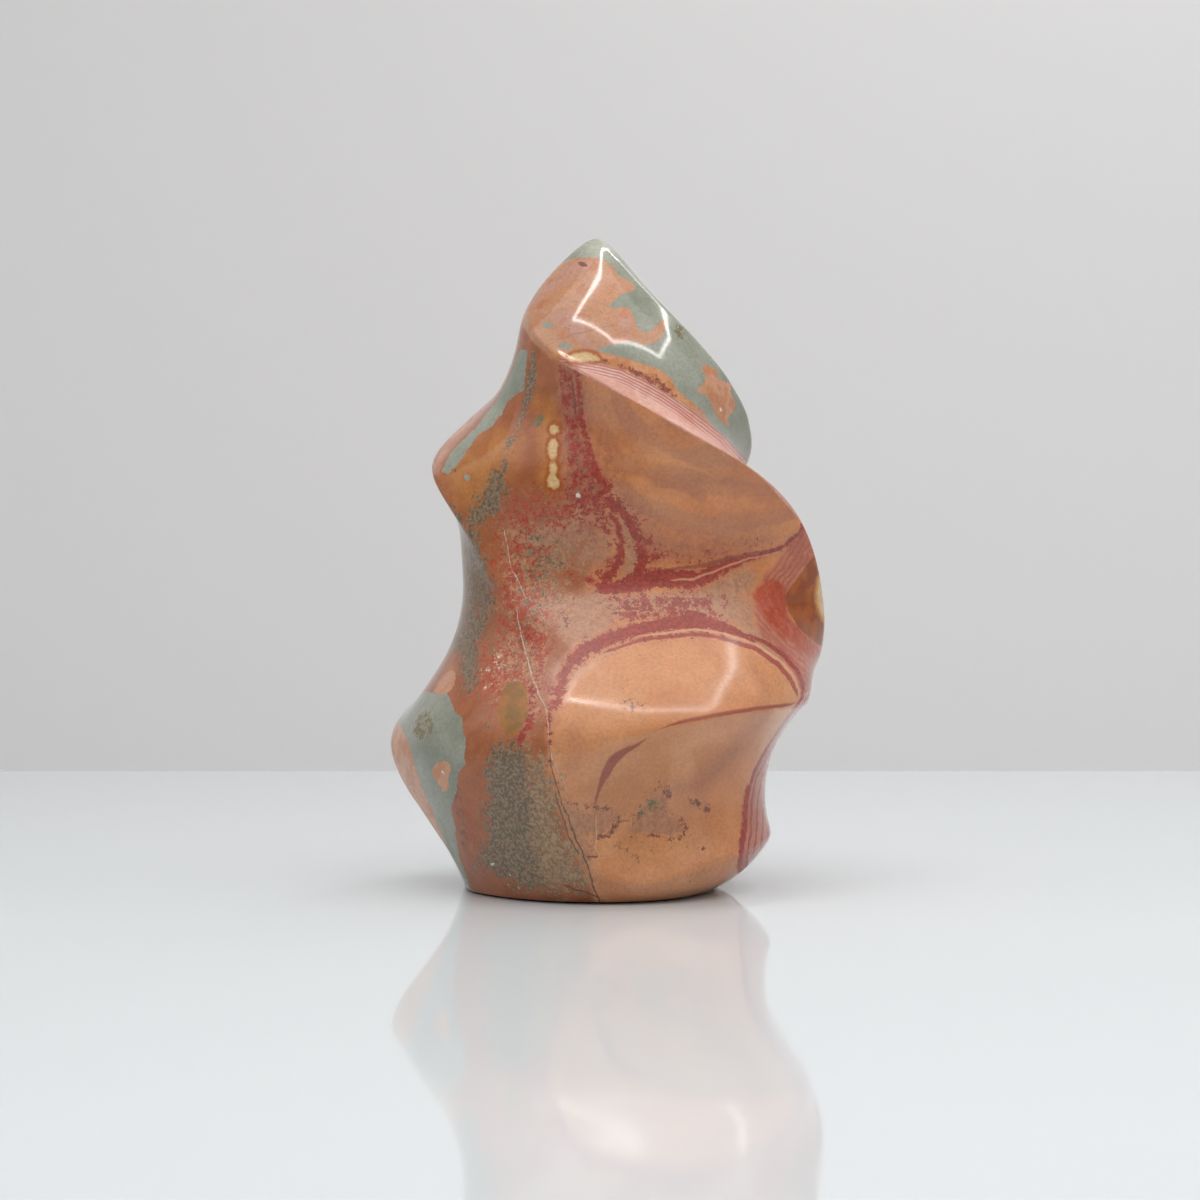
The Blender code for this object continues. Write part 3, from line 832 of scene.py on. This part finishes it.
# Tan-brown ground of the big flute, with soft clouds and fine grain.
stone = tones((204, 127, 76), (216, 141, 88), cloud)
flow = number("MULTIPLY", stripes("flute_flow", 0.17, -0.6, 9.0, cloud), ramp(cloud_c, 0.35, 0.6, 0.15, 0.5))
stone = paint(stone, linear(176, 110, 80), flow)
# Painted shade: darker brown under the long ridge and below the hollow's rim.
stone = paint(stone, linear(150, 98, 80), number("MULTIPLY", kept("painted_shade"), ramp(cloud_b, 0.35, 0.65, 0.6, 1.0)))
stone = paint(stone, linear(200, 148, 108), number("MULTIPLY", kept("pale"), ramp(cloud_c, 0.35, 0.65, 0.5, 0.9)))
mauve_haze = number("MULTIPLY", kept("mauve"), ramp(blotch, 0.3, 0.6, 0.5, 1.0))
stone = paint(stone, linear(148, 90, 70), mauve_haze)
mauve_specks = number("MULTIPLY", ramp(fine_mix_b, 0.49, 0.54), number("MULTIPLY", kept("mauve"), 0.75))
stone = paint(stone, linear(118, 62, 58), mauve_specks)

# Orange-tan nodule low on the right.
nodule = tones((206, 142, 98), (198, 130, 84), cloud_b)
# Painted shade on the nodule: darker below the hollow's rim and low by the base.
nodule = paint(nodule, linear(158, 100, 78), number("MULTIPLY", kept("painted_shade"), 0.9))
nodule = paint(nodule, linear(216, 158, 114), number("MULTIPLY", kept("pale"), 0.85))
stone = paint(stone, nodule, frayed("nodule", 0.15, 0.4, 0.3))

# Orange-brown ground on the left, ochre higher up.
left = tones((168, 98, 60), (150, 84, 48), blotch, 0.35, 0.65)
left = paint(left, tones((188, 124, 62), (172, 106, 48), blotch_b, 0.35, 0.65), kept("ochre"))
stone = paint(stone, left, frayed("left_ground", 0.6, 1.6, 0.8))

# Orange and salmon crown.
crown = tones((190, 140, 110), (186, 126, 84), cloud, 0.42, 0.58)
crown = paint(crown, linear(186, 142, 126), number("MULTIPLY", ramp(cloud_b, 0.5, 0.62), 0.8))
crown = paint(crown, linear(186, 104, 74), number("MULTIPLY", ramp(blotch_c, 0.60, 0.68), 0.45))
stone = paint(stone, crown, frayed("crown", 0.15, 0.3, 0.2))
stone = paint(stone, tones((184, 136, 116), (192, 150, 132), blotch), kept("pink_skin"))

# Beige and olive speckle, over a ground that is duller where the beige and the crimson lie.
stone = paint(stone, linear(182, 124, 92), number("MULTIPLY", kept("beige"), 0.7))
stone = paint(stone, linear(174, 108, 82), number("MULTIPLY", kept("crimson"), 0.8, clamp=True))
stone = paint(stone, tones((186, 134, 100), (168, 114, 84), rubble), speckled("beige", fine_mix_c))
stone = paint(stone, tones((168, 136, 102), (132, 104, 76), speck_c), speckled("olive", fine_mix_c, 0.3))

# Brick-red and crimson specks, and grey slate speckle that also carries painted shade down the left flank.
stone = paint(stone, tones((182, 80, 50), (160, 60, 38), speck_c), speckled("brick", fine_mix))
# The slate cover here is also painted shade down the left flank.
stone = paint(stone, tones((104, 88, 70), (138, 116, 92), speck_b), speckled("slate_and_flank_shade", fine_mix_b))
crimson_tone = tones((166, 58, 44), (136, 42, 36), speck_d)
stone = paint(stone, crimson_tone, number("MULTIPLY", speckled("crimson", fine_mix), 0.92))

# Ochre spot.
ochre_spot = tones((166, 108, 46), (136, 96, 46), blotch_b)
stone = paint(stone, ochre_spot, frayed("ochre_spot", 0.4, 0.5, 0.4))

# Sage clay stone and the orange patches in it.
sage = tones((150, 152, 138), (132, 136, 120), cloud_c, 0.35, 0.65)
sage = paint(sage, linear(122, 120, 96), number("MULTIPLY", ramp(fine_mix, 0.53, 0.60), 0.35))
sage = paint(sage, linear(186, 186, 172), number("MULTIPLY", kept("pale"), 0.85))
stone = paint(stone, sage, frayed("sage", 0.12, 0.35, 0.3))
stone = paint(stone, tones((200, 146, 112), (186, 124, 86), blotch), frayed("orange_patch", 0.12, 0.3, 0.25))

stone = paint(stone, tones((132, 118, 80), (104, 96, 68), speck_b), speckled("moss", fine_mix_c))

# Rust seam, cream spots and the pink band along the crest.
stone = paint(stone, tones((204, 142, 96), (184, 116, 68), blotch_b), frayed("rust_seam", 0.15, 0.4, 0.3))
stone = paint(stone, tones((148, 70, 46), (120, 48, 34), speck), speckled("dark_rust", fine_mix_b))
pink = tones((214, 162, 144), (202, 142, 124), blotch)
pink_stripes = stripes("crest_stripes", 1.9, -0.2, 0.5, blotch_b)
upper_half = ramp(kept("crest_stripes_off"), kept("crest_stripes_width"), number("ADD", kept("crest_stripes_width"), 0.3), 1.0, 0.12)
pink = paint(pink, tones((160, 74, 72), (140, 54, 54), speck_b), number("MULTIPLY", number("MULTIPLY", pink_stripes, upper_half), 0.75))
stone = paint(stone, pink, frayed("pink_band", 0.08, 0.12, 0.1))
cream_near = ramp(number("ADD", kept("cream"), number("MULTIPLY", number("SUBTRACT", blotch_b, 0.5), 1.2)), -1.1, -0.3)
stone = paint(stone, linear(160, 78, 22), number("MULTIPLY", cream_near, 0.85))
stone = paint(stone, tones((220, 188, 142), (198, 158, 106), speck), frayed("cream", 0.3, 0.6, 0.5))

# Chevrons, red wedge and eye on the right.
chevron_pink = tones((188, 112, 92), (170, 88, 70), blotch)
chevron_mix = paint(chevron_pink, crimson_tone, number("MULTIPLY", stripes("chevron_lines", 1.1, 0.0, 1.9, blotch_b), 0.6))
stone = paint(stone, chevron_mix, number("MULTIPLY", frayed("chevrons", 0.5, 1.0, 0.5), 0.8))
stone = paint(stone, tones((184, 70, 28), (168, 56, 22), blotch), number("MULTIPLY", frayed("red_wedge", 0.5, 1.2, 0.6), ramp(fine_mix_b, 0.42, 0.52, 0.4, 0.95)))
flank = tones((192, 130, 112), (176, 110, 92), cloud)
flank = paint(flank, crimson_tone, number("MULTIPLY", stripes("flank_lines", 0.95, 0.1, 0.9, blotch_c), 0.75))
stone = paint(stone, flank, frayed("right_flank", 0.25, 0.5, 0.3))
stone = paint(stone, tones((166, 82, 14), (138, 62, 10), blotch_b), frayed("eye", 0.15, 0.3, 0.25))
stone = paint(stone, linear(204, 146, 74), frayed("eye_core", 0.5, 0.3, 0.2))
stone = paint(stone, tones((216, 182, 146), (200, 162, 116), blotch), ramp(kept("eye_core"), 0.1, 0.7))

stone = paint(stone, tones((112, 62, 62), (92, 46, 52), speck_b), number("MULTIPLY", speckled("plum", fine_mix), 0.8))

# Thin seams.
dark_line = linear(112, 52, 54)
stone = paint(stone, linear(126, 56, 54), number("MULTIPLY", seam("branch_dark", 0.12, 0.6), 0.62))
stone = paint(stone, linear(202, 142, 112), number("MULTIPLY", seam("branch_light", 0.08, 0.3), 0.85))
stone = paint(stone, crimson_tone, number("MULTIPLY", seam("arc_lower", 0.12, 0.3), 0.85))
stone = paint(stone, crimson_tone, seam("arc_upper", 0.08, 0.25))
stone = paint(stone, linear(214, 156, 122), number("MULTIPLY", seam("arc_light", 0.08, 0.25), 0.85))
stone = paint(stone, linear(148, 68, 58), number("MULTIPLY", seam("ridge_tint", 0.2, 0.2), 0.85))
stone = paint(stone, linear(150, 112, 104), number("MULTIPLY", seam("crown_hair", 0.08, 0.4), 0.5))
stone = paint(stone, dark_line, number("MULTIPLY", seam("purple_thread", 0.08, 0.3), 0.7))
stone = paint(stone, linear(208, 172, 138), number("MULTIPLY", seam("pale_thread", 0.08, 0.3), 0.7))
stone = paint(stone, linear(226, 220, 206), number("MULTIPLY", speckled("chalk", fine_mix_c), 0.85))
veins = number("MAXIMUM", seam("vein_left", 0.07, 0.5), seam("vein_right", 0.07, 0.5))
stone = paint(stone, linear(204, 186, 166), number("MULTIPLY", veins, ramp(fine_mix_b, 0.42, 0.52, 0.25, 0.9)))
cracks = number("MAXIMUM", number("MAXIMUM", seam("crack_long", 0.07, 0.6), seam("crack_short", 0.07, 0.6)), seam("crack_base"))
stone = paint(stone, linear(84, 62, 56), number("MULTIPLY", cracks, 0.85))

grain_tone = tree.nodes.new("ShaderNodeHueSaturation")
plug(grain_tone.inputs["Color"], stone)
plug(grain_tone.inputs["Value"], number("ADD", ramp(speck, 0.3, 0.7, 0.90, 1.06), ramp(blotch_b, 0.3, 0.7, -0.04, 0.04)))
tree.links.new(grain_tone.outputs["Color"], polish_shader.inputs["Base Color"])
rough = ramp(kept("slate_and_flank_shade"), 0.2, 0.9, 0.08, 0.14)
rough = number("ADD", rough, number("MULTIPLY", kept("dull_polish"), 0.08))
rough = number("ADD", rough, number("MULTIPLY", ramp(kept("pink_band"), -0.3, 0.3), 0.2))
porous = number("MAXIMUM", number("MAXIMUM", kept("brick"), kept("beige")), kept("crimson"))
rough = number("ADD", rough, number("MULTIPLY", ramp(porous, -0.1, 0.6), 0.30))
rough = number("ADD", rough, number("MULTIPLY", number("SUBTRACT", speck, 0.5), 0.05))
tree.links.new(rough, polish_shader.inputs["Roughness"])
polish_shader.inputs["IOR"].default_value = 1.54
polish_bump = tree.nodes.new("ShaderNodeBump")
polish_bump.inputs["Distance"].default_value = 0.0001
polish_bump.inputs["Strength"].default_value = 0.6
open_cracks = number("SUBTRACT", number("MULTIPLY", speck, 0.02), number("MAXIMUM", veins, cracks))
tree.links.new(open_cracks, polish_bump.inputs["Height"])
tree.links.new(polish_bump.outputs["Normal"], polish_shader.inputs["Normal"])

stone_mesh.materials.clear()
stone_mesh.materials.append(polish)
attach(jasper_stone, "root")
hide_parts("jasper_flame")

# The studio.
# A glossy pale table and a plain pale wall, lit by a ring of tube lamps overhead and soft light all round.

TABLE_SIZE = 3.0
WALL_AT = 0.262
STAGE_IOR = 1.38


def stage_plane(name, corners, material):
    """A flat stage piece from its corners, with its material."""
    mesh = bpy.data.meshes.new(name)
    mesh.from_pydata(corners, [], [tuple(range(len(corners)))])
    mesh.materials.append(material)
    plane = bpy.data.objects.new(name, mesh)
    bpy.context.scene.collection.objects.link(plane)
    return plane


def plain_material(name, colour, roughness):
    """A stage material of one colour."""
    material = bpy.data.materials.new(name)
    material.use_nodes = True
    shader = material.node_tree.nodes["Principled BSDF"]
    shader.inputs["Base Color"].default_value = (*colour, 1)
    shader.inputs["Roughness"].default_value = roughness
    shader.inputs["IOR"].default_value = STAGE_IOR
    return material


table_white = plain_material("glossy_white_table", (0.70, 0.745, 0.772), 0.05)
wall_grey = plain_material("pale_grey_wall", (0.765, 0.75, 0.75), 0.9)
# The wall is clear from behind, so that the stone's back can be looked at through it.
wall_nodes = wall_grey.node_tree.nodes
seen_through = wall_nodes.new("ShaderNodeMixShader")
wall_grey.node_tree.links.new(wall_nodes.new("ShaderNodeNewGeometry").outputs["Backfacing"], seen_through.inputs[0])
wall_grey.node_tree.links.new(wall_nodes["Principled BSDF"].outputs[0], seen_through.inputs[1])
wall_grey.node_tree.links.new(wall_nodes.new("ShaderNodeBsdfTransparent").outputs[0], seen_through.inputs[2])
wall_grey.node_tree.links.new(seen_through.outputs[0], wall_nodes["Material Output"].inputs["Surface"])
half = TABLE_SIZE / 2
stage_plane("table", [(-half, -half, -0.0002), (half, -half, -0.0002), (half, WALL_AT, -0.0002),
                      (-half, WALL_AT, -0.0002)], table_white)
stage_plane("wall", [(-half, WALL_AT, -0.0002), (half, WALL_AT, -0.0002), (half, WALL_AT, TABLE_SIZE),
                     (-half, WALL_AT, TABLE_SIZE)], wall_grey)

# Lamps: a ring of six tubes overhead, whose mirror image shows on the crown and on the low bulge.
LAMP_HEIGHT = 0.45
TUBE_ENDS = ((-0.205, -0.136), (0.05, -0.27), (0.35, -0.15), (0.345, 0.06), (0.20, 0.27), (0.013, -0.031))
TUBE_WIDTH = 0.016
TUBE_RADIANCE = 16.0
GLOW_ABOVE = 1.12
FRONT_LIGHT, ROUND_LIGHT = 0.24, 0.62


def tube_lamp(name, start, end):
    """One lamp tube of the overhead ring, as a thin area light that looks down."""
    lamp = bpy.data.lights.new(name, "AREA")
    lamp.shape = "RECTANGLE"
    lamp.size = math.dist(start, end)
    lamp.size_y = TUBE_WIDTH
    lamp.energy = TUBE_RADIANCE * math.pi * lamp.size * TUBE_WIDTH
    holder = bpy.data.objects.new(name, lamp)
    bpy.context.scene.collection.objects.link(holder)
    holder.location = ((start[0] + end[0]) / 2, (start[1] + end[1]) / 2, LAMP_HEIGHT)
    holder.rotation_euler = (0, 0, math.atan2(end[1] - start[1], end[0] - start[0]))
    return holder


for lamp_count, tube_start in enumerate(TUBE_ENDS):
    tube_lamp(f"tube_lamp_{lamp_count + 1}", tube_start, TUBE_ENDS[(lamp_count + 1) % len(TUBE_ENDS)])

world = bpy.data.worlds.new("soft_studio_light")
bpy.context.scene.world = world
world.use_nodes = True
world_light = world.node_tree.nodes["Background"]
world_light.inputs["Color"].default_value = (1.0, 0.985, 0.965, 1)
facing = world.node_tree.nodes.new("ShaderNodeSeparateXYZ")
world.node_tree.links.new(world.node_tree.nodes.new("ShaderNodeTexCoord").outputs["Generated"], facing.inputs[0])
dim_front = world.node_tree.nodes.new("ShaderNodeMapRange")
dim_front.inputs["From Min"].default_value = -0.9
dim_front.inputs["From Max"].default_value = 0.1
dim_front.inputs["To Min"].default_value = FRONT_LIGHT
dim_front.inputs["To Max"].default_value = ROUND_LIGHT
world.node_tree.links.new(facing.outputs["Y"], dim_front.inputs["Value"])
glow_above = world.node_tree.nodes.new("ShaderNodeMapRange")
glow_above.interpolation_type = "SMOOTHSTEP"
glow_above.inputs["From Min"].default_value = 0.25
glow_above.inputs["From Max"].default_value = 1.0
glow_above.inputs["To Max"].default_value = GLOW_ABOVE
world.node_tree.links.new(facing.outputs["Z"], glow_above.inputs["Value"])
whole_sky = world.node_tree.nodes.new("ShaderNodeMath")
world.node_tree.links.new(dim_front.outputs["Result"], whole_sky.inputs[0])
world.node_tree.links.new(glow_above.outputs["Result"], whole_sky.inputs[1])
world.node_tree.links.new(whole_sky.outputs[0], world_light.inputs["Strength"])

# The camera: level with the middle of the stone, half a metre away, as the photograph was taken.
camera_data = bpy.data.cameras.new("camera")
camera_data.lens = LENS
camera_data.sensor_width = SENSOR
camera = bpy.data.objects.new("camera", camera_data)
bpy.context.scene.collection.objects.link(camera)
camera.location = EYE
camera.rotation_euler = (math.radians(90) - EYE_TILT, 0, 0)
bpy.context.scene.camera = camera
bpy.context.scene.view_settings.view_transform = "Standard"
